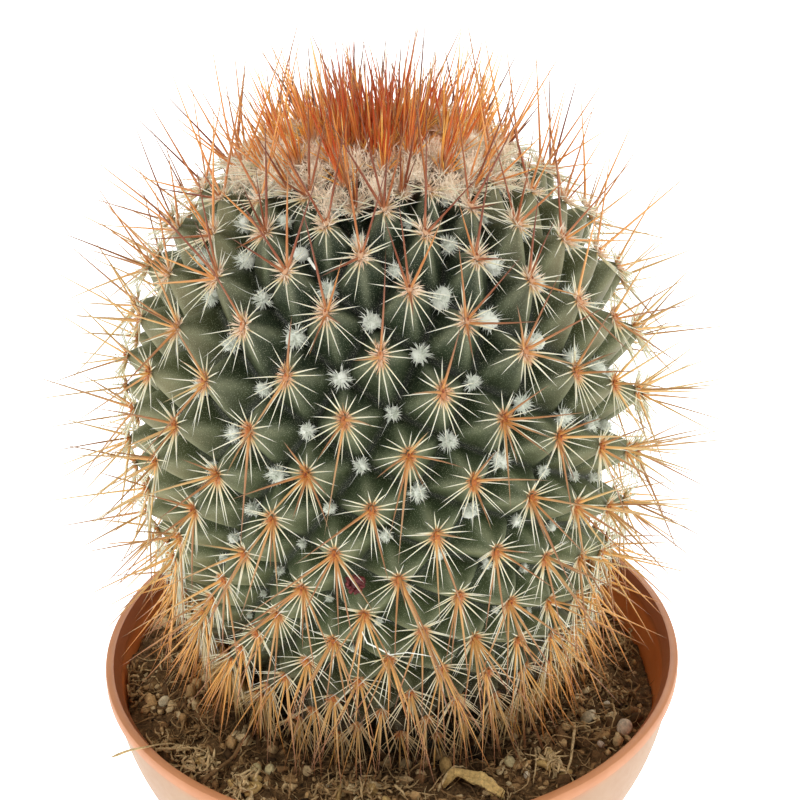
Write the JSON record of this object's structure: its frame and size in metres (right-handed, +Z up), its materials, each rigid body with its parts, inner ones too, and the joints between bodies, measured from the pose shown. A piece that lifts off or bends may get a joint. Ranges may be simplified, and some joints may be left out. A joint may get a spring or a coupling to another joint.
{
  "type": "potted pincushion cactus",
  "caption": "Globular green cactus of spiralling tubercles with cream and orange-red spines, rooted in soil in a shallow rounded terracotta-coloured pot with a beaded rim.",
  "frame": {"origin": "centre of the pot's flat underside", "axes": "+Z up along the stem; -Y towards the side that the picture shows"},
  "size_m": [0.1288, 0.1279, 0.1741],
  "materials": {
    "pot_plastic": "satin moulded terracotta-coloured plastic",
    "soil": "loose dark peat mix with fibres and pale grit",
    "stem": "dull grey-green living skin with fine pale flecks",
    "spine": "stiff glossy spines, cream to orange-red",
    "wool": "soft white plant wool and felt"
  },
  "bodies": {
    "root": {"pot": "pot_plastic", "soil": "soil", "cactus": "stem"}
  },
  "joints": []
}
